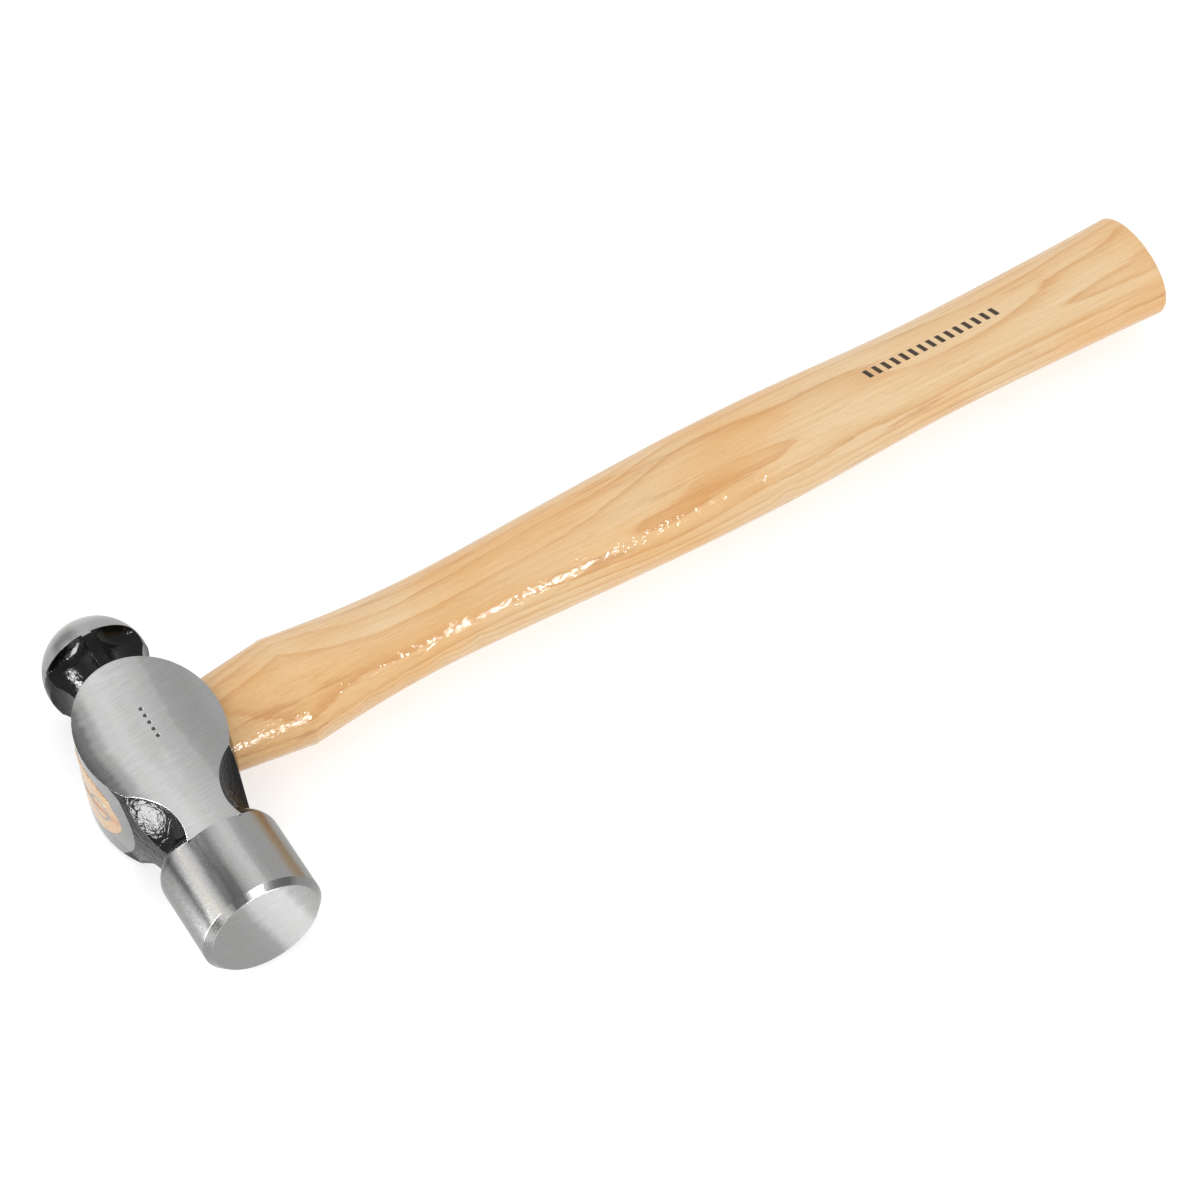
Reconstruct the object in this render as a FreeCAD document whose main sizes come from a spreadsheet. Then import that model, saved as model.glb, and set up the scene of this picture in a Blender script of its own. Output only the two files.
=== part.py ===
import FreeCAD, Part
import math
import os

import Sketcher
from FreeCAD import Placement, Rotation, Vector

# 32 oz ball pein hammer lying on its cheek. The model is drawn about the middle of the eye:
# +X runs down the handle, -Y is the striking face, +Y the ball, +Z the upper cheek.
# The finished pieces are then moved so that the origin is under the middle of the whole tool.

os.makedirs("parts", exist_ok=True)
doc = FreeCAD.newDocument("BallPeinHammer")

SIZES = {
    # striking end
    "poll_radius": 19.4,
    "face_distance": 70.3,
    "face_radius": 17.5,
    "face_chamfer": 2.1,
    "poll_back": 42.7,
    "rim_length": 3.4,
    "rim_drop": 1.2,
    "flare_length": 5.4,
    "flare_drop": 3.4,
    # ball end
    "ball_radius": 16.8,
    "ball_centre": 38.4,
    # eye boss, the part between the two cheeks
    "cheek_height": 17.9,
    "boss_half_width": 22.0,
    "boss_half_length": 28.1,
    "boss_shift": 1.8,
    # neck behind the striking end
    "neck_half_width": 20.5,
    "neck_end": 12.0,
    "scoop_radius": 19.3,
    "scoop_across": 26.5,
    "scoop_along": 35.9,
    "scoop_height": 21.7,
    "flank_radius": 300.0,
    "flank_half_width": 5.5,
    "flank_along": 107.9,
    "flank_bulge_radius": 100.0,
    # neck behind the ball
    "ball_neck_radius": 16.5,
    "ball_neck_facet": 16.0,
    "dish_radius": 12.7,
    "dish_across": 13.9,
    "dish_height": 19.8,
    "dish_start": 18.0,
    "dish_end": 40.8,
    "dish_corner": 3.5,
    "side_cut_radius": 15.0,
    "side_cut_half_width": 11.8,
    "side_cut_along": 25.5,
    # eye, flared towards both mouths
    "eye_reach": 25.2,
    "eye_outer_long": 18.0,
    "eye_outer_short": 12.3,
    "eye_waist_long": 13.3,
    "eye_waist_short": 9.6,
    "eye_inner_long": 14.2,
    "eye_inner_short": 10.9,
    # handle
    "tongue_proud": 0.3,
    "shoulder_start": 13.6,
    "shoulder_half_width": 15.2,
    "shoulder_half_depth": 11.8,
    "crest_at": 45.1,
    "crest_half_width": 19.3,
    "crest_half_depth": 15.0,
    # wedges
    "wedge_depth": 24.2,
    "wedge_thick_end": 3.3,
    "wedge_thin_end": 1.0,
    "kerf_width": 1.0,
    "kerf_depth": 32.0,
    "ring_spacing": 6.6,
    "ring_outer_radius": 4.9,
    "ring_inner_radius": 3.7,
    "ring_tip_outer": 4.6,
    "ring_tip_inner": 4.3,
    "ring_depth": 14.5,
}

# Handle sections from the crest to the butt: distance from the eye, half width along the
# head, half depth through the cheeks.
HANDLE_SECTIONS = {
    "neck_upper": (59.2, 17.7, 13.8),
    "waist": (96.0, 15.9, 12.4),
    "rise": (130.0, 17.0, 13.3),
    "swell_start": (160.0, 18.2, 14.3),
    "swell": (198.8, 19.2, 14.9),
    "swell_end": (221.2, 19.0, 14.8),
    "fall": (248.3, 18.0, 14.1),
    "small": (289.1, 17.2, 13.4),
    "flare": (324.9, 17.9, 14.0),
    "butt": (347.3, 18.6, 14.5),
    "rim": (356.2, 19.0, 14.8),
}
# The rounded-over end, from the last full section to the flat of the butt.
CAP_SECTIONS = {
    "rim": HANDLE_SECTIONS["rim"],
    "round_over": (357.2, 18.7, 14.5),
    "edge": (357.8, 18.1, 13.9),
    "end": (358.2, 17.1, 12.9),
}

sheet = doc.addObject("Spreadsheet::Sheet", "Sizes")
rows = dict(SIZES)
for section, (at, half_width, half_depth) in (HANDLE_SECTIONS | CAP_SECTIONS).items():
    rows[section + "_at"] = at
    rows[section + "_half_width"] = half_width
    rows[section + "_half_depth"] = half_depth
for number, (alias, value) in enumerate(rows.items(), start=1):
    sheet.set(f"A{number}", alias)
    sheet.set(f"B{number}", str(value))
    sheet.setAlias(f"B{number}", alias)
doc.recompute()

# The drawing's eye-centred axes moved to the point under the middle of the whole tool.
SHIFT = {
    "x": "(Sizes.boss_half_width + Sizes.tongue_proud - Sizes.end_at) / 2",
    "y": "(Sizes.face_distance - Sizes.ball_centre - Sizes.ball_radius) / 2",
    "z": "Sizes.poll_radius",
}


def value_of(text):
    """The number that an expression in the sheet's names gives."""
    return sheet.evalExpression(text.replace("Sizes.", ""))


def bind(item, **expressions):
    """Tie properties to the sheet. A double underscore in a name stands for a dot."""
    for name, text in expressions.items():
        item.setExpression(name.replace("__", "."), text)
    return item


def add(kind, name, at=None, turn=None, **expressions):
    """A Part object turned in place, moved by expressions, with its sizes from the sheet."""
    item = doc.addObject(kind, name)
    item.Placement = Placement(Vector(0, 0, 0), turn or Rotation())
    bind(item, **expressions)
    for axis, text in (at or {}).items():
        item.setExpression(f"Placement.Base.{axis}", text)
    return item


def combine(kind, name, *pieces):
    """A boolean of the pieces: Fuse and Common take many, Cut takes the first less the second."""
    item = doc.addObject(kind, name)
    if kind == "Part::Cut":
        item.Base, item.Tool = pieces
    else:
        item.Shapes = list(pieces)
    return item


def short_arc(start, end, radius, side):
    """The arc under half a turn from start to end, and which of its ends each of them is.

    side is 1 for a centre on the left of the way from start to end, and -1 for the right.
    """
    chord = end - start
    to_left = Vector(-chord.y, chord.x, 0).normalize()
    centre = (start + end) / 2 + to_left * side * (radius**2 - (chord.Length / 2) ** 2) ** 0.5
    angles = [math.atan2(point.y - centre.y, point.x - centre.x) for point in (start, end)]
    order = (1, 2) if side > 0 else (2, 1)
    first, last = angles[order[0] - 1], angles[order[1] - 1]
    if last < first:
        last += 2 * math.pi
    return Part.ArcOfCircle(Part.Circle(centre, Vector(0, 0, 1), radius), first, last), order


def turned_body(name, corners, arcs, at=None):
    """A PartDesign body turned about a line along the head.

    corners lists (across, along) expressions in order, and arcs maps the number of a side to
    its radius expression and to -1 or 1 for the side its centre lies on.
    """
    body = doc.addObject("PartDesign::Body", name)
    sketch = body.newObject("Sketcher::SketchObject", name + "Profile")
    plane = next(f for f in body.Origin.OriginFeatures if f.Role == "XY_Plane")
    sketch.AttachmentSupport = [(plane, "")]
    sketch.MapMode = "FlatFace"
    points = [Vector(value_of(across), value_of(along), 0) for across, along in corners]
    ends = []
    for number, start in enumerate(points):
        end = points[(number + 1) % len(points)]
        if number in arcs:
            curve, order = short_arc(start, end, value_of(arcs[number][0]), arcs[number][1])
        else:
            curve, order = Part.LineSegment(start, end), (1, 2)
        sketch.addGeometry(curve, False)
        ends.append(order)
    for number in range(len(points)):
        following = (number + 1) % len(points)
        sketch.addConstraint(
            Sketcher.Constraint("Coincident", number, ends[number][1], following, ends[following][0])
        )
    for number, (across, along) in enumerate(corners):
        for direction, text in (("DistanceX", across), ("DistanceY", along)):
            index = sketch.addConstraint(
                Sketcher.Constraint(direction, -1, 1, number, ends[number][0], value_of(text))
            )
            sketch.setExpression(f"Constraints[{index}]", text)
    for number, (radius_text, _) in arcs.items():
        index = sketch.addConstraint(Sketcher.Constraint("Radius", number, value_of(radius_text)))
        sketch.setExpression(f"Constraints[{index}]", radius_text)
    turn = body.newObject("PartDesign::Revolution", name + "Turn")
    turn.Profile = sketch
    turn.ReferenceAxis = (sketch, ["V_Axis"])
    turn.Angle = 360.0
    body.Tip = turn
    for axis, text in (at or {}).items():
        body.setExpression(f"Placement.Base.{axis}", text)
    return body


def ellipse(name, at_x, half_y, half_z):
    """An ellipse across the handle, with its long axis along the head."""
    across = Rotation(Vector(0, 1, 0), Vector(0, 0, 1), Vector(1, 0, 0), "XYZ")
    return add(
        "Part::Ellipse", name, {"x": at_x}, across, MajorRadius=half_y, MinorRadius=half_z
    )


def loft(name, sections, ruled=False):
    """A solid loft through ellipses."""
    item = doc.addObject("Part::Loft", name)
    item.Sections, item.Solid, item.Ruled = sections, True, ruled
    return item


def oval_prism(name, grow="0"):
    """The oval eye boss as an upright prism, its wall moved outwards by grow."""
    outline = add(
        "Part::Ellipse",
        name + "Outline",
        {"y": "-Sizes.boss_shift", "z": "-Sizes.cheek_height"},
        Rotation(Vector(0, 0, 1), 90),
        MajorRadius=f"Sizes.boss_half_length + {grow}",
        MinorRadius=f"Sizes.boss_half_width + {grow}",
    )
    prism = doc.addObject("Part::Extrusion", name)
    prism.Base, prism.Dir, prism.Solid = outline, Vector(0, 0, 1), True
    return bind(prism, LengthFwd="2 * Sizes.cheek_height")


def mirrored(text, sign):
    """An expression with the given sign."""
    return text if sign > 0 else f"-({text})"


ALONG_HEAD = Rotation(Vector(1, 0, 0), -90)
ALONG_HANDLE = Rotation(Vector(0, 1, 0), 90)



def arc_radius(drop, length):
    """Radius of the arc that leaves the axis direction level and drops this far over this length."""
    return f"({drop} * {drop} + {length} * {length}) / (2 * {drop})"


# ---- head: striking end and ball ----
poll = turned_body(
    "Poll",
    [
        ("0", "-Sizes.face_distance"),
        ("Sizes.face_radius", "-Sizes.face_distance"),
        ("Sizes.poll_radius", "Sizes.face_chamfer - Sizes.face_distance"),
        ("Sizes.poll_radius", "-Sizes.poll_back"),
        ("Sizes.poll_radius - Sizes.rim_drop", "Sizes.rim_length - Sizes.poll_back"),
        (
            "Sizes.poll_radius - Sizes.rim_drop - Sizes.flare_drop",
            "Sizes.rim_length + Sizes.flare_length - Sizes.poll_back",
        ),
        ("0", "Sizes.rim_length + Sizes.flare_length - Sizes.poll_back"),
    ],
    {
        3: (arc_radius("Sizes.rim_drop", "Sizes.rim_length"), 1),
        4: (arc_radius("Sizes.flare_drop", "Sizes.flare_length"), -1),
    },
)
ball = add("Part::Sphere", "Ball", {"y": "Sizes.ball_centre"}, Radius="Sizes.ball_radius")

# ---- head: eye boss and the neck behind the striking end, with cheeks ground flat ----
boss = oval_prism("Boss")
neck_block = add(
    "Part::Box",
    "NeckBlock",
    {"x": "-Sizes.neck_half_width", "y": "-Sizes.poll_back", "z": "-Sizes.cheek_height"},
    Length="2 * Sizes.neck_half_width",
    Width="Sizes.poll_back - Sizes.neck_end",
    Height="2 * Sizes.cheek_height",
)

CORNERS = [(x, z) for x in (-1, 1) for z in (-1, 1)]
scoops = [
    add(
        "Part::Sphere",
        "Scoop",
        {
            "x": mirrored("Sizes.scoop_across", x),
            "y": "-Sizes.scoop_along",
            "z": mirrored("Sizes.scoop_height", z),
        },
        Radius="Sizes.scoop_radius",
    )
    for x, z in CORNERS
]


def flank_cutter(side):
    """An upright spool, waisted at mid height, that shapes one flank of the neck."""
    place = {
        "x": mirrored("Sizes.flank_half_width + Sizes.flank_radius", side),
        "y": "-Sizes.flank_along",
    }
    drum = add(
        "Part::Cylinder",
        "FlankDrum",
        place | {"z": "-Sizes.poll_radius"},
        Radius="Sizes.flank_radius + Sizes.flank_bulge_radius"
        " - sqrt(Sizes.flank_bulge_radius * Sizes.flank_bulge_radius"
        " - Sizes.poll_radius * Sizes.poll_radius)",
        Height="2 * Sizes.poll_radius",
    )
    waist = add(
        "Part::Torus",
        "FlankWaist",
        place,
        Radius1="Sizes.flank_radius + Sizes.flank_bulge_radius",
        Radius2="Sizes.flank_bulge_radius",
    )
    return combine("Part::Cut", "Flank", drum, waist)


flanks = [flank_cutter(side) for side in (-1, 1)]
neck = combine("Part::Cut", "Neck", neck_block, combine("Part::MultiFuse", "Flanks", *flanks))
block = combine("Part::MultiFuse", "EyeBlock", boss, neck)
poll_side = combine("Part::Cut", "PollSide", block, combine("Part::MultiFuse", "Scoops", *scoops))

# ---- head: the neck behind the ball ----
ball_neck_bar = add(
    "Part::Cylinder",
    "BallNeckBar",
    None,
    ALONG_HEAD,
    Radius="Sizes.ball_neck_radius",
    Height="Sizes.ball_centre",
)
ball_neck_slab = add(
    "Part::Box",
    "BallNeckSlab",
    {"x": "-Sizes.ball_neck_radius", "z": "-Sizes.ball_neck_facet"},
    Length="2 * Sizes.ball_neck_radius",
    Width="Sizes.ball_centre",
    Height="2 * Sizes.ball_neck_facet",
)
ball_neck = combine("Part::MultiCommon", "BallNeck", ball_neck_bar, ball_neck_slab)
dishes = [
    turned_body(
        "Dish",
        [
            ("0", "Sizes.dish_start"),
            ("Sizes.dish_radius", "Sizes.dish_start"),
            ("Sizes.dish_radius", "Sizes.dish_end - Sizes.dish_corner"),
            ("Sizes.dish_radius - Sizes.dish_corner", "Sizes.dish_end"),
            ("0", "Sizes.dish_end"),
        ],
        {2: ("Sizes.dish_corner", 1)},
        {"x": mirrored("Sizes.dish_across", x), "z": mirrored("Sizes.dish_height", z)},
    )
    for x, z in CORNERS
]
side_cuts = [
    add(
        "Part::Cylinder",
        "SideCut",
        {
            "x": mirrored("Sizes.side_cut_half_width + Sizes.side_cut_radius", x),
            "y": "Sizes.side_cut_along",
            "z": "-Sizes.poll_radius",
        },
        Radius="Sizes.side_cut_radius",
        Height="2 * Sizes.poll_radius",
    )
    for x in (-1, 1)
]
ball_hollows = combine("Part::MultiFuse", "BallHollows", *dishes, *side_cuts)
ball_block = combine("Part::MultiFuse", "BallBlock", ball_neck, ball)
ball_side = combine("Part::Cut", "BallSide", ball_block, ball_hollows)
forging = combine("Part::MultiFuse", "Forging", poll_side, poll, ball_side)
grinds = [
    add(
        "Part::Box",
        "CheekGrind",
        {"x": "-Sizes.poll_radius", "y": "-Sizes.poll_back", "z": low},
        Length="2 * Sizes.poll_radius",
        Width="Sizes.poll_back",
        Height="Sizes.poll_radius",
    )
    for low in ("Sizes.cheek_height", "-Sizes.cheek_height - Sizes.poll_radius")
]
ground = combine("Part::Cut", "Ground", forging, combine("Part::MultiFuse", "Grinds", *grinds))

# ---- eye and tongue share one surface ----
eye = loft(
    "Eye",
    [
        ellipse("EyeOuter", "-Sizes.eye_reach", "Sizes.eye_outer_long", "Sizes.eye_outer_short"),
        ellipse("EyeWaist", "0", "Sizes.eye_waist_long", "Sizes.eye_waist_short"),
        ellipse("EyeInner", "Sizes.eye_reach", "Sizes.eye_inner_long", "Sizes.eye_inner_short"),
    ],
)
head = combine("Part::Cut", "Head", ground, eye)

# ---- handle ----
shoulder = loft(
    "Shoulder",
    [
        ellipse(
            "ShoulderStart",
            "Sizes.shoulder_start",
            "Sizes.shoulder_half_width",
            "Sizes.shoulder_half_depth",
        ),
        ellipse(
            "ShoulderCrest", "Sizes.crest_at", "Sizes.crest_half_width", "Sizes.crest_half_depth"
        ),
    ],
    ruled=True,
)
shaft = loft(
    "Shaft",
    [ellipse("Crest", "Sizes.crest_at", "Sizes.crest_half_width", "Sizes.crest_half_depth")]
    + [
        ellipse(
            "Section_" + section,
            f"Sizes.{section}_at",
            f"Sizes.{section}_half_width",
            f"Sizes.{section}_half_depth",
        )
        for section in HANDLE_SECTIONS
    ],
)
butt_cap = loft(
    "ButtCap",
    [
        ellipse(
            "Cap_" + section,
            f"Sizes.{section}_at",
            f"Sizes.{section}_half_width",
            f"Sizes.{section}_half_depth",
        )
        for section in CAP_SECTIONS
    ],
)

outside = oval_prism("FlushOutside", "Sizes.tongue_proud")
head_room = combine("Part::MultiFuse", "HeadRoom", boss, neck)
seated = combine(
    "Part::Cut",
    "Seated",
    combine("Part::MultiFuse", "Stick", shoulder, shaft, butt_cap),
    head_room,
)
tongue = combine("Part::MultiCommon", "Tongue", eye, outside)

# ---- wedges ----
wedge_blade = doc.addObject("PartDesign::Body", "WedgeBlade")
blade_sketch = wedge_blade.newObject("Sketcher::SketchObject", "BladeProfile")
front = next(f for f in wedge_blade.Origin.OriginFeatures if f.Role == "XZ_Plane")
blade_sketch.AttachmentSupport = [(front, "")]
blade_sketch.MapMode = "FlatFace"
BLADE = [
    ("-Sizes.eye_reach", "-Sizes.wedge_thick_end / 2"),
    ("Sizes.wedge_depth - Sizes.eye_reach", "-Sizes.wedge_thin_end / 2"),
    ("Sizes.wedge_depth - Sizes.eye_reach", "Sizes.wedge_thin_end / 2"),
    ("-Sizes.eye_reach", "Sizes.wedge_thick_end / 2"),
]
blade_points = [Vector(value_of(x), value_of(y), 0) for x, y in BLADE]
for number, start in enumerate(blade_points):
    blade_sketch.addGeometry(Part.LineSegment(start, blade_points[(number + 1) % 4]), False)
for number in range(4):
    blade_sketch.addConstraint(Sketcher.Constraint("Coincident", number, 2, (number + 1) % 4, 1))
for number, (x, y) in enumerate(BLADE):
    for direction, text in (("DistanceX", x), ("DistanceY", y)):
        index = blade_sketch.addConstraint(
            Sketcher.Constraint(direction, -1, 1, number, 1, value_of(text))
        )
        blade_sketch.setExpression(f"Constraints[{index}]", text)
blade_pad = wedge_blade.newObject("PartDesign::Pad", "BladePad")
blade_pad.Profile = blade_sketch
blade_pad.Midplane = True
bind(blade_pad, Length="2 * Sizes.eye_outer_long + 2")
wedge_blade.Tip = blade_pad

kerf = add(
    "Part::Box",
    "Kerf",
    {
        "x": "-Sizes.eye_reach",
        "y": "-Sizes.eye_outer_long - 1",
        "z": "-Sizes.kerf_width / 2",
    },
    Length="Sizes.kerf_depth",
    Width="2 * Sizes.eye_outer_long + 2",
    Height="Sizes.kerf_width",
)
kerf_waste = combine("Part::MultiFuse", "KerfWaste", wedge_blade, kerf)


def ring_solid(name, side):
    """A tapered steel ring driven into the end of the tongue, flush with it."""
    place = {"x": "-Sizes.eye_reach", "y": mirrored("Sizes.ring_spacing", side)}
    depth = "Sizes.ring_depth + Sizes.eye_reach - Sizes.boss_half_width"
    outer = add(
        "Part::Cone",
        name + "Outer",
        place,
        ALONG_HANDLE,
        Radius1="Sizes.ring_outer_radius",
        Radius2="Sizes.ring_tip_outer",
        Height=depth,
    )
    inner = add(
        "Part::Cone",
        name + "Inner",
        place,
        ALONG_HANDLE,
        Radius1="Sizes.ring_inner_radius",
        Radius2="Sizes.ring_tip_inner",
        Height=depth,
    )
    tube = combine("Part::Cut", name + "Tube", outer, inner)
    return combine("Part::MultiCommon", name, tube, outside)


face_ring = ring_solid("FaceRing", -1)
ball_ring = ring_solid("BallRing", 1)
rings = combine("Part::MultiFuse", "Rings", face_ring, ball_ring)
split_tongue = combine("Part::Cut", "SplitTongue", tongue, kerf_waste)
ringed_tongue = combine("Part::Cut", "RingedTongue", split_tongue, rings)
handle = combine("Part::MultiFuse", "Handle", seated, ringed_tongue)
blade_in_eye = combine("Part::MultiCommon", "BladeInEye", wedge_blade, tongue)
wedge = combine("Part::Cut", "Wedge", blade_in_eye, rings)
doc.recompute()

NODES = {
    "hammer_head": (head, "Hammer head"),
    "handle": (handle, "Hickory handle"),
    "wooden_wedge": (wedge, "Wooden wedge"),
    "ring_wedge_face_side": (face_ring, "Steel ring wedge, face side"),
    "ring_wedge_ball_side": (ball_ring, "Steel ring wedge, ball side"),
}
pieces = {}
for node, (source, label) in NODES.items():
    piece = doc.addObject("Part::Feature", node)
    piece.Label = label
    piece.Shape = source.Shape.copy()
    piece.Placement = Placement(Vector(*(value_of(SHIFT[axis]) for axis in "xyz")), Rotation())
    pieces[node] = piece
doc.recompute()

for item in doc.Objects:
    if "Invalid" in item.State or "Error" in item.State:
        raise RuntimeError(f"{item.Name} did not compute: {item.State}")
for node, piece in pieces.items():
    shape = piece.Shape
    if shape.isNull() or not shape.isValid():
        raise RuntimeError(f"{node} is not a valid shape")
    shape.exportStep(f"parts/{node}.step")
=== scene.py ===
import math

import bpy
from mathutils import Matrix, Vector


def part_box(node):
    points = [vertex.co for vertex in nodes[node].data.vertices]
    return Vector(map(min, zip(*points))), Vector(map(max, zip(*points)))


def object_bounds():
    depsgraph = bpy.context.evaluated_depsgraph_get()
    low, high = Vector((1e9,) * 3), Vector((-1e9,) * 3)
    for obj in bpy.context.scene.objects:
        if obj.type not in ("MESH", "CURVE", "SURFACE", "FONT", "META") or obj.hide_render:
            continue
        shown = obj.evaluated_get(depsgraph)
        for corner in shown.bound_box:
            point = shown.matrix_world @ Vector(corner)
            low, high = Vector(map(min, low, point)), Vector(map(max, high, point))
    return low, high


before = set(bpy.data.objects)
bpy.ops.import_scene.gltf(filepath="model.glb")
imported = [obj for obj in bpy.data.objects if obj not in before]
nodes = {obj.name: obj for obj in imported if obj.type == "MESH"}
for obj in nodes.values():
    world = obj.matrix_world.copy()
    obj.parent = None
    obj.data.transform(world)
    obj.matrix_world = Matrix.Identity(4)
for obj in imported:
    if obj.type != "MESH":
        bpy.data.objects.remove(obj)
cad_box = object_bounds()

scene = bpy.context.scene

# The head's own axes in millimetres, from the middle of the eye: x along the handle, y from the
# striking face to the ball, z up through the cheeks. All the places below are on these axes.
FACE_TO_EYE = 70.3
FACE = -FACE_TO_EYE
CHAMFER = 2.05  # width of the bevelled edge round the face
POLL_BACK = -42.7  # back of the striking end, where the flat cheeks begin
POLL_RADIUS = 19.4
POLL_RIM = (3.4, 1.2)  # length and drop of the rounded rim behind the striking end
POLL_FLARE = (5.4, 3.4)  # and of the hollow flare from that rim down to the neck
POLL_SHOULDER = -36.5  # where the striking end's painted reflection bands give way to the wall's painted bands
CHEEK = 17.9  # half the thickness through the cheeks
SCOOP_CENTRE = (26.5, -35.9, 21.7)  # across, y and height, the same for all four
SCOOP_SHELL = (19.15, 19.45)  # the scoop's surface lies between these distances
SCOOP_END = -12.0
SHOULDER_EDGE = -35.3  # where the paint stops behind the striking end, at mid height
SHOULDER_LEAN = -7.4  # and how much further towards the face it reaches at the cheeks
WALL_EDGE = -21.6  # where the paint stops beside the ground wall, at mid height
WALL_CURVE = 0.026  # and how it curves away with the square of the height
FAR_SIDE = (4.0, 38.0)  # the eye's handle side is painted from this x, up to this y
NECK = (13.5, 40.2)  # the painted length behind the eye
DISH_CENTRE = (13.9, 19.8)  # across and height, the same for all four
DISH_RADIUS = 12.78
DISH_REACH = (17.0, 40.95)
BALL = 30.0
END_GRAIN = -14.0  # from here to the open side of the eye, the handle shows its end grain

head_low, head_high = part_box("hammer_head")
EYE = (
    500 * (head_low[0] + head_high[0]),
    1000 * head_low[1] + FACE_TO_EYE,
    500 * (head_low[2] + head_high[2]),
)


# ---- node helpers ----
def new_material(name):
    material = bpy.data.materials.new(name)
    material.use_nodes = True
    tree = material.node_tree
    return material, tree, tree.nodes["Principled BSDF"]


def attach(tree, value, socket):
    """Link a socket to another, or set a plain value on it."""
    if isinstance(value, bpy.types.NodeSocket):
        tree.links.new(value, socket)
    elif isinstance(value, tuple) and len(value) == 3 and socket.type == "RGBA":
        socket.default_value = (*value, 1.0)
    else:
        socket.default_value = value


def calc(tree, operation, *inputs):
    node = tree.nodes.new("ShaderNodeMath")
    node.operation = operation
    for number, value in enumerate(inputs):
        attach(tree, value, node.inputs[number])
    return node.outputs[0]


def both(tree, *masks):
    """All of the masks together."""
    result = masks[0]
    for mask in masks[1:]:
        result = calc(tree, "MULTIPLY", result, mask)
    return result


def either(tree, *masks):
    """The strongest of the masks."""
    result = masks[0]
    for mask in masks[1:]:
        result = calc(tree, "MAXIMUM", result, mask)
    return result


def spread(tree, value, low, high, to_low=0.0, to_high=1.0):
    """The value's range low to high taken to the range to_low to to_high."""
    node = tree.nodes.new("ShaderNodeMapRange")
    for name, setting in (
        ("Value", value), ("From Min", low), ("From Max", high), ("To Min", to_low), ("To Max", to_high)
    ):
        attach(tree, setting, node.inputs[name])
    return node.outputs["Result"]


def roughness(tree, pattern, low, high):
    """A noise pattern's usual range taken to a range of roughness."""
    return spread(tree, pattern, 0.3, 0.7, low, high)


def above(tree, value, edge, soft=0.1):
    """0 below the edge and 1 above it, blended over soft."""
    if isinstance(edge, bpy.types.NodeSocket):
        low = calc(tree, "SUBTRACT", edge, soft / 2)
        high = calc(tree, "ADD", edge, soft / 2)
    else:
        low, high = edge - soft / 2, edge + soft / 2
    return spread(tree, value, low, high)


def below(tree, value, edge, soft=0.1):
    return calc(tree, "SUBTRACT", 1.0, above(tree, value, edge, soft))


def within(tree, value, low, high, soft=0.1):
    return both(tree, above(tree, value, low, soft), below(tree, value, high, soft))


def length(tree, first, second):
    """The length of a vector with these two components."""
    squares = [calc(tree, "POWER", value, 2.0) for value in (first, second)]
    return calc(tree, "SQRT", calc(tree, "ADD", *squares))


def head_axes(tree):
    """x, y and z in millimetres from the middle of the eye, and the three as one vector."""
    place = tree.nodes.new("ShaderNodeNewGeometry").outputs["Position"]
    node = tree.nodes.new("ShaderNodeVectorMath")
    node.operation = "MULTIPLY_ADD"
    attach(tree, place, node.inputs[0])
    node.inputs[1].default_value = (1000, 1000, 1000)
    node.inputs[2].default_value = (-EYE[0], -EYE[1], -EYE[2])
    split = tree.nodes.new("ShaderNodeSeparateXYZ")
    attach(tree, node.outputs[0], split.inputs[0])
    return *split.outputs, node.outputs[0]


def stretched(tree, vector, scale, turn=(0, 0, 0)):
    """The vector turned, then scaled along each axis."""
    node = tree.nodes.new("ShaderNodeMapping")
    node.vector_type = "TEXTURE"
    attach(tree, vector, node.inputs["Vector"])
    node.inputs["Scale"].default_value = [1 / factor for factor in scale]
    node.inputs["Rotation"].default_value = [math.radians(angle) for angle in turn]
    return node.outputs[0]


def noise(tree, vector, scale=1.0, detail=3.0, rough=0.5, distortion=0.0):
    node = tree.nodes.new("ShaderNodeTexNoise")
    attach(tree, vector, node.inputs["Vector"])
    node.inputs["Scale"].default_value = scale
    node.inputs["Detail"].default_value = detail
    node.inputs["Roughness"].default_value = rough
    node.inputs["Distortion"].default_value = distortion
    return node.outputs["Fac"]


def ramp(tree, value, stops, interpolation="LINEAR"):
    """A colour ramp over stops of (position, colour), with grey given as one number."""
    node = tree.nodes.new("ShaderNodeValToRGB")
    attach(tree, value, node.inputs[0])
    band = node.color_ramp
    band.interpolation = interpolation
    while len(band.elements) < len(stops):
        band.elements.new(1.0)
    for element, (position, colour) in zip(band.elements, stops):
        element.position = position
        colour = colour if isinstance(colour, tuple) else (colour, colour, colour)
        element.color = (*colour, 1.0)
    return node.outputs["Color"]


def span_ramp(tree, value, low, high, stops, interpolation="LINEAR"):
    """A colour ramp with its stops at real values between low and high."""
    places = [((at - low) / (high - low), colour) for at, colour in stops]
    return ramp(tree, spread(tree, value, low, high), places, interpolation)


def mix(tree, mask, first, second, kind="MIX"):
    node = tree.nodes.new("ShaderNodeMix")
    node.data_type = "RGBA"
    node.blend_type = kind
    attach(tree, mask, node.inputs[0])
    attach(tree, first, node.inputs[6])
    attach(tree, second, node.inputs[7])
    return node.outputs[2]


def tinted(tree, colour, tint):
    return mix(tree, 1.0, colour, tint, "MULTIPLY")


def stained(tree, mask, strength, colour, stain):
    """The colour with a stain of some strength where the mask is."""
    return mix(tree, calc(tree, "MULTIPLY", mask, strength), colour, stain)


def bump(tree, height, strength, distance, normal=None):
    node = tree.nodes.new("ShaderNodeBump")
    attach(tree, height, node.inputs["Height"])
    node.inputs["Strength"].default_value = strength
    node.inputs["Distance"].default_value = distance
    if normal is not None:
        attach(tree, normal, node.inputs["Normal"])
    return node.outputs["Normal"]


def soft_edges(tree, radius):
    node = tree.nodes.new("ShaderNodeBevel")
    node.samples = 6
    node.inputs["Radius"].default_value = radius
    return node.outputs["Normal"]


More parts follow.
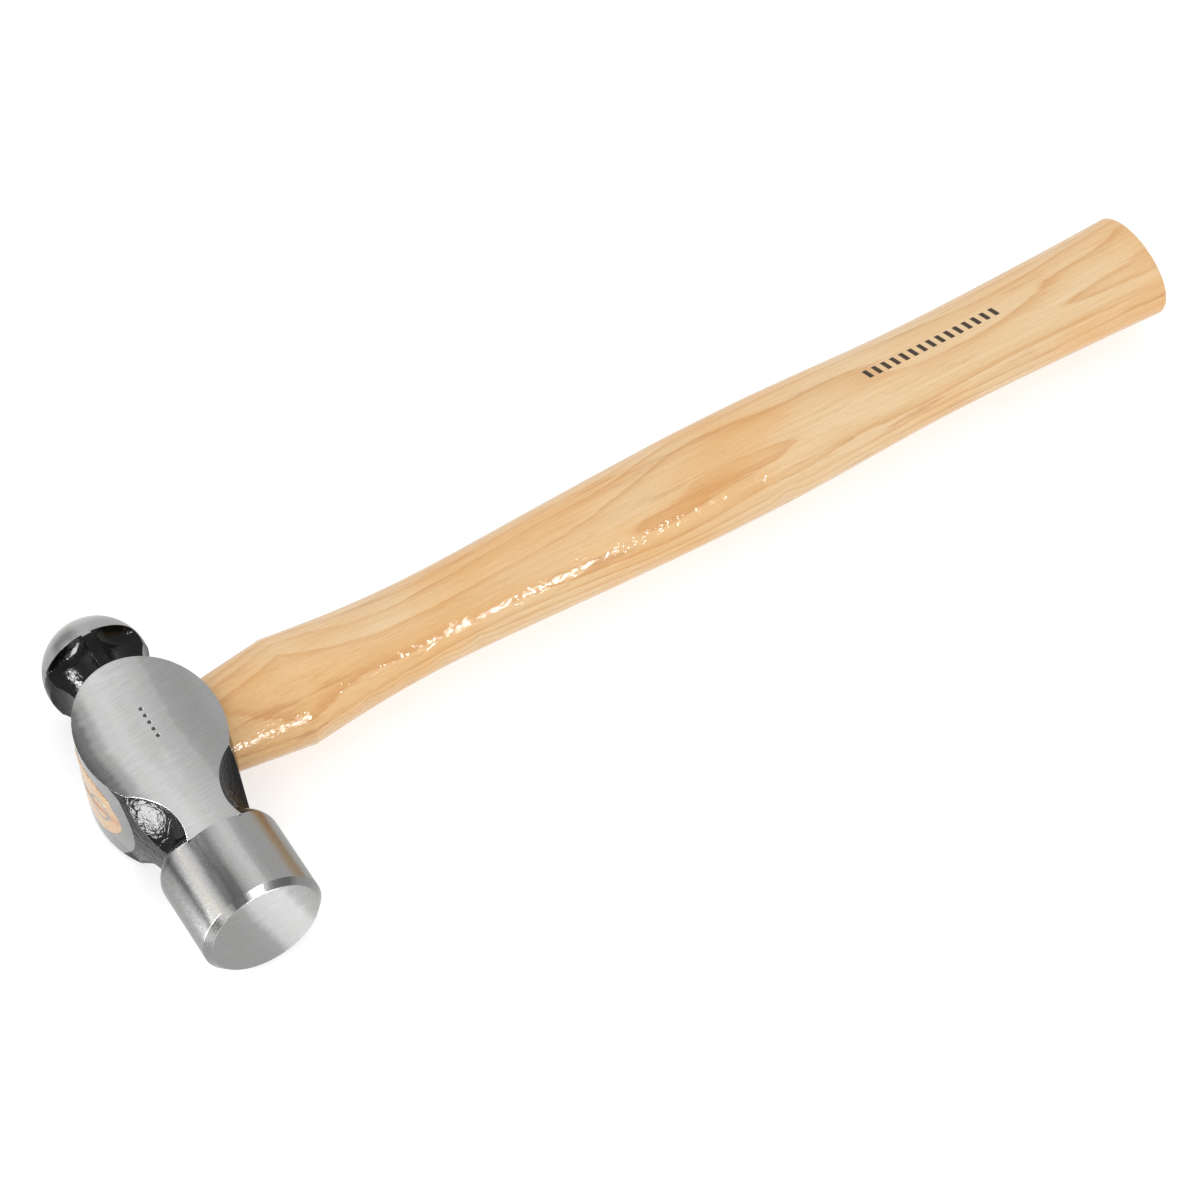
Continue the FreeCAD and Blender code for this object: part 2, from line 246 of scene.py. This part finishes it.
# ---- plain marks in place of lettering ----
def dots(tree, along, across, z):
    """Five punched dots in a row on the upper cheek, as a mask."""
    count, pitch, start, radius = 5, 2.8, -7.5, 0.65
    step = calc(tree, "DIVIDE", calc(tree, "SUBTRACT", along, start), pitch)
    offset = calc(tree, "MULTIPLY", calc(tree, "SUBTRACT", calc(tree, "FRACT", step), 0.5), pitch)
    return both(
        tree,
        above(tree, z, 0.0),
        within(tree, step, 0.0, float(count), 0.01),
        below(tree, length(tree, offset, across), radius, 0.15),
    )


def dashes(tree, along, across, z):
    """A row of fifteen short strokes on the handle's upper side, as a mask."""
    count, pitch, start, width, half_height = 15, 3.4, 252.0, 1.6, 1.7
    step = calc(tree, "DIVIDE", calc(tree, "SUBTRACT", along, start), pitch)
    phase = calc(tree, "ABSOLUTE", calc(tree, "SUBTRACT", calc(tree, "FRACT", step), 0.5))
    return both(
        tree,
        below(tree, phase, width / pitch / 2, 0.08),
        within(tree, step, 0.0, float(count), 0.01),
        below(tree, calc(tree, "ABSOLUTE", across), half_height, 0.15),
        above(tree, z, 0.0),
    )


# ---- head: ground steel, with gloss black paint in the hollows and on the handle side ----
def arc_fall(along, run, drop):
    """The fall at a distance along a round arc that starts level and drops over its run."""
    radius = (run * run + drop * drop) / (2 * drop)
    return radius - math.sqrt(radius * radius - along * along)


def poll_outline():
    """Points (y, radius) down the rim and the flare behind the striking end."""
    rim_length, rim_drop = POLL_RIM
    flare_length, flare_drop = POLL_FLARE
    flare_end = POLL_BACK + rim_length + flare_length
    neck_radius = POLL_RADIUS - rim_drop - flare_drop
    rim = [
        (POLL_BACK + along, POLL_RADIUS - arc_fall(along, rim_length, rim_drop))
        for along in (0, rim_length / 3, 2 * rim_length / 3, rim_length)
    ]
    flare = [
        (flare_end - along, neck_radius + arc_fall(along, flare_length, flare_drop))
        for along in (0.82 * flare_length, 0.64 * flare_length, 0.36 * flare_length, 0)
    ]
    return rim + flare


def scoop_mask(tree, x, y, z, across, height):
    """The four scooped hollows: near a ball's surface, inside the outline of the striking end."""
    folded = tree.nodes.new("ShaderNodeCombineXYZ")
    for socket, value in zip(folded.inputs, (across, y, height)):
        attach(tree, value, socket)
    gap = tree.nodes.new("ShaderNodeVectorMath")
    gap.operation = "DISTANCE"
    attach(tree, folded.outputs[0], gap.inputs[0])
    gap.inputs[1].default_value = SCOOP_CENTRE
    scale = 20  # keeps the radii in the ramp's range of 0 to 1
    rim = span_ramp(tree, y, -44, -33, [(at, radius / scale) for at, radius in poll_outline()])
    return both(
        tree,
        within(tree, gap.outputs["Value"], *SCOOP_SHELL, 0.05),
        within(tree, y, POLL_BACK - 0.05, SCOOP_END),
        below(tree, length(tree, x, z), calc(tree, "MULTIPLY_ADD", rim, float(scale), -0.15), 0.1),
    )


def paint_mask(tree, x, y, z, place):
    across = calc(tree, "ABSOLUTE", x)
    height = calc(tree, "ABSOLUTE", z)
    ragged = calc(tree, "MULTIPLY_ADD", noise(tree, place, 0.9, 4.0), 0.8, -0.4)
    ragged_y = calc(tree, "ADD", y, ragged)
    # the flanks, from the striking end's shoulder to the curved edge of the ground wall
    shoulder_edge = calc(tree, "MULTIPLY_ADD", height, SHOULDER_LEAN / CHEEK, SHOULDER_EDGE)
    wall_edge = calc(
        tree, "MULTIPLY_ADD", calc(tree, "POWER", height, 2.0), WALL_CURVE, WALL_EDGE
    )
    frayed_y = calc(tree, "ADD", y, calc(tree, "MULTIPLY", ragged, 0.6))
    flank = both(
        tree, below(tree, ragged_y, wall_edge, 0.25), above(tree, frayed_y, shoulder_edge, 0.25)
    )
    # the handle's side of the eye
    far_side = both(
        tree,
        above(tree, x, FAR_SIDE[0]),
        above(tree, y, shoulder_edge, 0.4),
        below(tree, y, FAR_SIDE[1]),
    )
    # the ball's neck, with the dished facets that run up into the ball
    dish_gap = length(
        tree,
        calc(tree, "SUBTRACT", across, DISH_CENTRE[0]),
        calc(tree, "SUBTRACT", height, DISH_CENTRE[1]),
    )
    dish = both(tree, below(tree, dish_gap, DISH_RADIUS, 0.05), within(tree, y, *DISH_REACH))
    neck = within(tree, ragged_y, *NECK, 0.3)
    scoop = scoop_mask(tree, x, y, z, across, height)
    off_cheek = below(tree, height, CHEEK - 0.1, 0.05)
    return both(tree, off_cheek, either(tree, scoop, flank, far_side, dish, neck))


# Ground steel shows soft bright and dark bands of reflection; here they are painted into the base
# colour as painted reflection and painted shade. Each function gives them for one surface.
def cheek_painted_reflection(tree, x, y, drift):
    apart = calc(tree, "ABSOLUTE", calc(tree, "ADD", y, 2.0))
    slide = calc(tree, "MULTIPLY_ADD", apart, -0.08, calc(tree, "ADD", x, drift))
    # painted reflection and painted shade across the cheek: dark at the -x edge, bright in the middle,
    # greyer towards +x
    stops = [
        (-22, 0.12), (-19, 0.19), (-16, 0.38), (-12, 0.62), (-8, 0.65), (-3, 0.56),
        (2, 0.50), (6, 0.455), (8, 0.37), (11, 0.345), (15, 0.335), (21, 0.37),
    ]
    return span_ramp(tree, slide, -23, 23, stops, "EASE")


def poll_painted_reflection(tree, turn):
    """Painted reflection and painted shade bands round the striking end, by the angle from the top in
    degrees.
    """
    stops = [
        (-100, 0.22), (-75, 0.17), (-61, 0.115), (-56, 0.08), (-53, 0.05), (-50, 0.14),
        (-46, 0.35), (-38, (0.59, 0.57, 0.525)), (-32, 0.42), (-26, 0.13), (-20, 0.065),
        (-12, 0.115), (-5, 0.36), (3, 0.56), (10, 0.53), (13, 0.40), (20, 0.33), (36, 0.34),
        (44, (0.32, 0.285, 0.23)), (48, (0.28, 0.215, 0.14)), (52, (0.25, 0.195, 0.135)),
        (56, (0.28, 0.265, 0.24)), (67, 0.24),
    ]
    return span_ramp(tree, turn, -110, 110, stops)


def chamfer_painted_reflection(tree, turn):
    # painted reflection and painted shade bands round the face's bevelled edge, with a painted
    # highlight at the top
    stops = [
        (-90, 0.28), (-66, 0.18), (-52, 0.11), (-47, 0.09), (-37, 0.36), (-30, 0.33), (-22, 0.09),
        (-12, 0.10), (-6, 0.40), (0, 0.85), (4, 0.50), (7, 0.10), (32, 0.12), (44, 0.26), (80, 0.34),
    ]
    return span_ramp(tree, turn, -110, 110, stops)


def face_painted_reflection(tree, x, z, drift):
    slant = calc(tree, "MULTIPLY_ADD", z, 0.32, calc(tree, "ADD", x, drift))
    # a painted reflection: a bright slanting band across the striking face
    stops = [
        (-18, 0.33), (-6, 0.34), (-1.5, 0.38), (1.5, 0.66), (7, 0.76), (11, 0.78), (13.5, 0.55),
        (19, 0.42),
    ]
    return span_ramp(tree, slant, -20, 20, stops)


def ball_painted_reflection(tree, y, turn, place):
    """Painted reflection bands round the ball, which fade into an even crown."""
    stops = [
        (-95, 0.22), (-75, 0.26), (-60, 0.37), (-46, 0.38), (-33, 0.19), (-18, 0.21), (-2, 0.42),
        (20, 0.40), (45, 0.36), (70, 0.36),
    ]
    sides = span_ramp(tree, turn, -110, 110, stops, "EASE")
    patch = noise(tree, stretched(tree, place, (0.08, 0.14, 0.08)), 1.0, 3.0, 0.6)
    crown = above(tree, calc(tree, "ADD", y, calc(tree, "MULTIPLY", patch, 5.0)), 50.0, 5.0)
    return mix(tree, crown, sides, (0.56, 0.55, 0.54))


def wall_painted_reflection(tree, y):
    # painted shade along the wall: darker towards the striking end
    return span_ramp(tree, y, -30, 30, [(-28, 0.22), (-15, 0.30), (0, 0.36), (20, 0.3)])


def head_material():
    material, tree, steel = new_material("forged_steel")
    x, y, z, place = head_axes(tree)
    height = calc(tree, "ABSOLUTE", z)

    cheek = both(
        tree, above(tree, height, CHEEK - 0.06, 0.04), above(tree, y, POLL_BACK + 0.02)
    )
    face = below(tree, y, FACE + 0.12, 0.05)
    chamfer = below(tree, y, FACE + CHAMFER)
    poll = below(tree, y, POLL_SHOULDER, 3.5)
    ball = above(tree, y, BALL, 1.0)

    # grinding marks: along the handle on the cheeks, across the face, and a fine grit elsewhere
    cheek_lines = noise(tree, stretched(tree, place, (0.13, 3.2, 3.2), (0, 0, 5)), 1.0, 5.0, 0.8)
    cheek_haze = noise(tree, stretched(tree, place, (0.10, 0.35, 0.35), (0, 0, 5)), 1.0, 4.0, 0.6)
    fine_grit = noise(tree, place, 1.7, 4.0, 0.9)
    face_lines = noise(tree, stretched(tree, place, (0.4, 1.0, 3.8), (0, -20, 0)), 1.0, 5.0, 0.75)
    grain = mix(tree, cheek, mix(tree, face, fine_grit, face_lines), cheek_lines)

    # painted reflection and painted shade bands in the base colour, with band edges that wander a
    # little
    drift = calc(tree, "MULTIPLY_ADD", cheek_haze, 3.0, -1.5)
    turn = calc(tree, "DEGREES", calc(tree, "ARCTAN2", x, z))
    waver = noise(tree, stretched(tree, place, (0.2, 0.05, 0.2)))
    turn = calc(tree, "ADD", turn, calc(tree, "MULTIPLY_ADD", waver, 8.0, -4.0))
    steel_colour_and_painted_reflection = mix(tree, poll, wall_painted_reflection(tree, y), poll_painted_reflection(tree, turn))
    steel_colour_and_painted_reflection = mix(tree, chamfer, steel_colour_and_painted_reflection, chamfer_painted_reflection(tree, turn))
    steel_colour_and_painted_reflection = mix(tree, face, steel_colour_and_painted_reflection, face_painted_reflection(tree, x, z, drift))
    steel_colour_and_painted_reflection = mix(tree, ball, steel_colour_and_painted_reflection, ball_painted_reflection(tree, y, turn, place))
    steel_colour_and_painted_reflection = mix(tree, cheek, steel_colour_and_painted_reflection, cheek_painted_reflection(tree, x, y, drift))
    steel_colour_and_painted_reflection = tinted(tree, steel_colour_and_painted_reflection, ramp(tree, grain, [(0.25, 0.84), (0.5, 0.99), (0.75, 1.14)]))
    warm = noise(tree, place, 0.12, 3.0, 0.6)
    steel_colour_and_painted_reflection = tinted(
        tree, steel_colour_and_painted_reflection, ramp(tree, warm, [(0.35, (1.0, 1.0, 1.0)), (0.7, (1.0, 0.985, 0.955))])
    )

    # a plain row of punched dots stands in for a size stamp
    mark = dots(tree, calc(tree, "MULTIPLY", y, -1.0), calc(tree, "SUBTRACT", x, 1.0), z)
    steel_colour_and_painted_reflection = stained(tree, mark, 0.86, steel_colour_and_painted_reflection, (0.03, 0.026, 0.024))

    rounded = soft_edges(tree, 0.0002)
    relief = bump(tree, grain, 0.10, 0.0001, rounded)
    relief = bump(tree, calc(tree, "SUBTRACT", 1.0, mark), 0.6, 0.0002, relief)
    attach(tree, steel_colour_and_painted_reflection, steel.inputs["Base Color"])
    steel.inputs["Metallic"].default_value = 1.0
    attach(tree, roughness(tree, grain, 0.24, 0.34), steel.inputs["Roughness"])
    steel.inputs["Anisotropic"].default_value = 0.4
    attach(tree, relief, steel.inputs["Normal"])

    black = black_paint(tree, y, place, rounded)
    blend = tree.nodes.new("ShaderNodeMixShader")
    attach(tree, paint_mask(tree, x, y, z, place), blend.inputs[0])
    attach(tree, steel.outputs[0], blend.inputs[1])
    attach(tree, black.outputs[0], blend.inputs[2])
    attach(tree, blend.outputs[0], tree.nodes["Material Output"].inputs["Surface"])
    return material


def black_paint(tree, y, place, normal):
    """Thick, glossy paint that is a little lumpy from the forging's skin, less so on the neck."""
    black = tree.nodes.new("ShaderNodeBsdfPrincipled")
    skin = noise(tree, place, 0.62, 2.5, 0.5, 0.6)
    lumps = noise(tree, place, 0.22, 2.0, 0.5)
    calm = span_ramp(tree, y, 5, 15, [(5, 1.0), (15, 0.4)])
    wave = calc(tree, "MULTIPLY", mix(tree, 0.35, skin, lumps), calm)
    tint = ramp(tree, lumps, [(0.35, (0.003, 0.003, 0.003)), (0.7, (0.008, 0.007, 0.006))])
    attach(tree, tint, black.inputs["Base Color"])
    attach(tree, roughness(tree, skin, 0.10, 0.20), black.inputs["Roughness"])
    black.inputs["IOR"].default_value = 1.40
    black.inputs["Specular IOR Level"].default_value = 0.25
    attach(tree, bump(tree, wave, 0.5, 0.0010, normal), black.inputs["Normal"])
    return black


# ---- handle: lacquered hickory ----
def growth_rings(tree, y, z, place):
    """A sawtooth over the growth rings, 0 to 1 in each.

    The rings lie nearly flat under the upper side, so they show there as nested flames with one
    crisp side, and as straight lines on the flanks.
    """
    flow = noise(tree, stretched(tree, place, (0.009, 0.05, 0.06)), 1.0, 1.6, 0.4, 0.35)
    fray = noise(tree, stretched(tree, place, (0.05, 1.4, 1.4)), 1.0, 3.0, 0.6)
    lay = calc(tree, "MULTIPLY_ADD", y, -0.11, calc(tree, "MULTIPLY", z, 0.30))
    rings = calc(tree, "MULTIPLY_ADD", flow, 3.4, calc(tree, "MULTIPLY_ADD", fray, 0.22, lay))
    return calc(tree, "FRACT", rings)


def hickory_colour(tree, x, y, z, place, ring, streak, pores):
    flame = ramp(
        tree,
        ring,
        [(0.0, (0.64, 0.38, 0.185)), (0.06, (0.67, 0.415, 0.205)), (0.22, (0.72, 0.49, 0.265)),
         (0.60, (0.755, 0.545, 0.32)), (0.94, (0.76, 0.555, 0.33)), (1.0, (0.69, 0.44, 0.225))],
    )
    clear = noise(tree, stretched(tree, place, (0.010, 0.05, 0.05)), 1.0, 2.0, 0.5)
    fade = ramp(tree, clear, [(0.38, 0.65), (0.62, 0.0)])
    colour = mix(tree, fade, flame, (0.745, 0.52, 0.295))
    threads = ramp(
        tree,
        streak,
        [(0.25, (0.92, 0.86, 0.78)), (0.5, (1.0, 1.0, 1.0)), (0.75, (1.03, 1.05, 1.09))],
    )
    colour = mix(tree, 0.8, colour, threads, "MULTIPLY")
    fine = noise(tree, stretched(tree, place, (0.045, 2.3, 2.3)), 1.0, 3.0, 0.7)
    hairs = ramp(
        tree, fine, [(0.3, (0.93, 0.88, 0.80)), (0.55, (1.0, 1.0, 1.0)), (0.8, (1.02, 1.04, 1.08))]
    )
    colour = tinted(tree, colour, hairs)
    colour = stained(tree, above(tree, pores, 0.665, 0.05), 0.30, colour, (0.40, 0.20, 0.075))

    # warmer patches, most of all at the butt and by the head
    patch = noise(tree, stretched(tree, place, (0.016, 0.045, 0.045)), 1.0, 2.0, 0.5)
    ends = either(tree, below(tree, x, 55.0, 40.0), above(tree, x, 320.0, 70.0))
    warmth = calc(tree, "MULTIPLY_ADD", ends, 0.16, patch)
    warm = ramp(tree, warmth, [(0.42, (1.0, 1.0, 1.0)), (0.70, (1.0, 0.87, 0.70))], "EASE")
    colour = tinted(tree, colour, warm)

    # a few brown mineral streaks
    mineral = noise(tree, stretched(tree, place, (0.02, 0.30, 0.30)), 1.0, 4.0, 0.6)
    colour = stained(tree, above(tree, mineral, 0.64, 0.10), 0.45, colour, (0.46, 0.20, 0.075))

    # end grain where the wood shows in the eye
    pith = noise(tree, stretched(tree, place, (0.4, 0.9, 2.4), (12, 0, 0)), 1.0, 4.0, 0.6)
    end_grain = ramp(
        tree, pith, [(0.3, (0.50, 0.27, 0.13)), (0.5, (0.74, 0.48, 0.26)), (0.7, (0.80, 0.57, 0.35))]
    )
    colour = mix(tree, below(tree, x, END_GRAIN, 1.0), colour, end_grain)

    # a plain band of slanting dashes, burnt in on the upper side, stands in for the maker's print
    lean = calc(tree, "MULTIPLY_ADD", y, 0.35, x)
    mark = dashes(tree, lean, calc(tree, "ADD", y, 1.0), z)
    return stained(tree, mark, 0.97, colour, (0.03, 0.02, 0.014))


def hickory_material():
    material, tree, wood = new_material("hickory")
    x, y, z, place = head_axes(tree)
    ring = growth_rings(tree, y, z, place)
    streak = noise(tree, stretched(tree, place, (0.014, 0.9, 0.9)), 1.0, 6.0, 0.65)
    pores = noise(tree, stretched(tree, place, (0.28, 5.0, 5.0)), 1.0, 2.0, 0.6)
    colour = hickory_colour(tree, x, y, z, place, ring, streak, pores)
    attach(tree, colour, wood.inputs["Base Color"])
    attach(tree, roughness(tree, streak, 0.45, 0.60), wood.inputs["Roughness"])
    relief = bump(tree, pores, 0.15, 0.0001, bump(tree, ring, 0.05, 0.0002))
    attach(tree, relief, wood.inputs["Normal"])
    wood.inputs["Specular IOR Level"].default_value = 0.05

    # the lacquer: uneven from the brush, so that a highlight breaks up into glints
    swell = noise(tree, stretched(tree, place, (0.06, 0.14, 0.14)), 1.0, 2.0, 0.5)
    ripple = noise(tree, stretched(tree, place, (0.34, 0.62, 0.62)), 1.0, 2.0, 0.55, 0.3)
    lacquer = bump(tree, ripple, 1.0, 0.00019, bump(tree, swell, 0.5, 0.0010))
    wood.inputs["Coat Weight"].default_value = 0.8
    wood.inputs["Coat Roughness"].default_value = 0.08
    wood.inputs["Coat IOR"].default_value = 1.40
    attach(tree, lacquer, wood.inputs["Coat Normal"])
    return material


# ---- the wedges in the eye ----
def wedge_wood_material():
    material, tree, wood = new_material("wedge_wood")
    place = head_axes(tree)[-1]
    lines = noise(tree, stretched(tree, place, (0.3, 0.5, 4.0)), 1.0, 5.0, 0.65)
    colour = ramp(
        tree,
        lines,
        [(0.3, (0.34, 0.15, 0.07)), (0.5, (0.53, 0.27, 0.14)), (0.72, (0.64, 0.38, 0.22))],
    )
    attach(tree, colour, wood.inputs["Base Color"])
    attach(tree, roughness(tree, lines, 0.5, 0.7), wood.inputs["Roughness"])
    attach(tree, bump(tree, lines, 0.3, 0.0002), wood.inputs["Normal"])
    return material


def wedge_steel_material():
    material, tree, steel = new_material("wedge_steel")
    place = head_axes(tree)[-1]
    lines = noise(tree, stretched(tree, place, (1.0, 0.6, 5.0)), 1.0, 5.0, 0.7)
    colour = ramp(
        tree,
        lines,
        [(0.3, (0.13, 0.13, 0.125)), (0.6, (0.27, 0.268, 0.26)), (0.8, (0.4, 0.395, 0.385))],
    )
    attach(tree, colour, steel.inputs["Base Color"])
    steel.inputs["Metallic"].default_value = 1.0
    attach(tree, roughness(tree, lines, 0.3, 0.5), steel.inputs["Roughness"])
    attach(tree, bump(tree, lines, 0.2, 0.0001, soft_edges(tree, 0.0002)), steel.inputs["Normal"])
    return material


wedge_steel = wedge_steel_material()
LOOKS = {
    "hammer_head": head_material(),
    "handle": hickory_material(),
    "wooden_wedge": wedge_wood_material(),
    "ring_wedge_face_side": wedge_steel,
    "ring_wedge_ball_side": wedge_steel,
}
for name, material in LOOKS.items():
    slots = nodes[name].data.materials
    slots.clear()
    slots.append(material)

# ---- camera ----
camera = bpy.data.objects.new("camera", bpy.data.cameras.new("camera"))
scene.collection.objects.link(camera)
camera.location = (-0.3623, -0.6469, 0.9927)
camera.rotation_euler = [math.radians(angle) for angle in (36.306, 2.276, -31.123)]
camera.data.lens = 118.4
camera.data.sensor_width = 36.0
scene.camera = camera

# ---- studio: pale floor, even white surround and soft boxes ----
world = bpy.data.worlds.new("studio")
world.use_nodes = True
background = world.node_tree.nodes["Background"]
background.inputs["Color"].default_value = (0.99, 0.995, 1.0, 1.0)
background.inputs["Strength"].default_value = 0.92
scene.world = world


def floor_material():
    material, tree, shader = new_material("pale_floor")
    speck = noise(tree, tree.nodes.new("ShaderNodeNewGeometry").outputs["Position"], 90.0)
    attach(tree, ramp(tree, speck, [(0.3, 0.50), (0.7, 0.53)]), shader.inputs["Base Color"])
    shader.inputs["Emission Color"].default_value = (1.0, 1.0, 1.0, 1.0)
    shader.inputs["Emission Strength"].default_value = 0.62
    shader.inputs["Roughness"].default_value = 0.9
    shader.inputs["Specular IOR Level"].default_value = 0.0
    return material


FLOOR_SIZE = 8
FLOOR_GAP = 0.0002  # below the lowest point of the head
bpy.ops.mesh.primitive_plane_add(size=FLOOR_SIZE, location=(0, 0, cad_box[0][2] - FLOOR_GAP))
floor = bpy.context.object
floor.name = "floor"
floor.data.materials.append(floor_material())
floor.visible_glossy = False
floor.visible_shadow = False


def beside_eye(x, y, z):
    """A point in metres from its place in millimetres from the middle of the eye."""
    return Vector((EYE[0] + x, EYE[1] + y, EYE[2] + z)) / 1000


def soft_box(name, aim, direction, distance, width, height, power, diffuse, glossy):
    """A rectangular light, in metres and watts, that faces aim from the given direction."""
    direction = Vector(direction).normalized()
    light = bpy.data.lights.new(name, "AREA")
    light.shape = "RECTANGLE"
    light.size = width
    light.size_y = height
    light.energy = power
    item = bpy.data.objects.new(name, light)
    scene.collection.objects.link(item)
    item.location = beside_eye(*aim) + direction * distance
    item.rotation_euler = (-direction).to_track_quat("-Z", "Y").to_euler()
    item.visible_camera = False
    item.visible_diffuse = diffuse
    item.visible_glossy = glossy


# name, point aimed at from the eye in millimetres, direction, distance, width, height, power
FILLS = (
    ("overhead", (170, 0, 0), (0.1, 0.15, 1.0), 1.4, 1.6, 1.2, 4.0),
    ("front", (170, 0, 0), (0.0, -1.0, 0.55), 1.5, 1.6, 0.8, 3.0),
)
GLINTS = (
    ("handle_glint", (112, 0, 8), (0.20, -0.80, 0.54), 1.5, 0.07, 0.22, 4.5),
    ("shoulder_glint", (38, -14, 5), (0.02, -0.93, 0.30), 1.0, 0.18, 0.16, 3.8),
    ("scoop_glint", (-15, -30, 8), (-0.95, -0.30, -0.04), 0.10, 0.075, 0.075, 0.75),
    ("dish_glint", (-10, 33, 10), (-0.50, 0.60, 0.62), 0.30, 0.02, 0.12, 0.7),
)
for settings in FILLS:
    soft_box(*settings, diffuse=True, glossy=False)
for settings in GLINTS:
    soft_box(*settings, diffuse=False, glossy=True)

scene.view_settings.view_transform = "Standard"
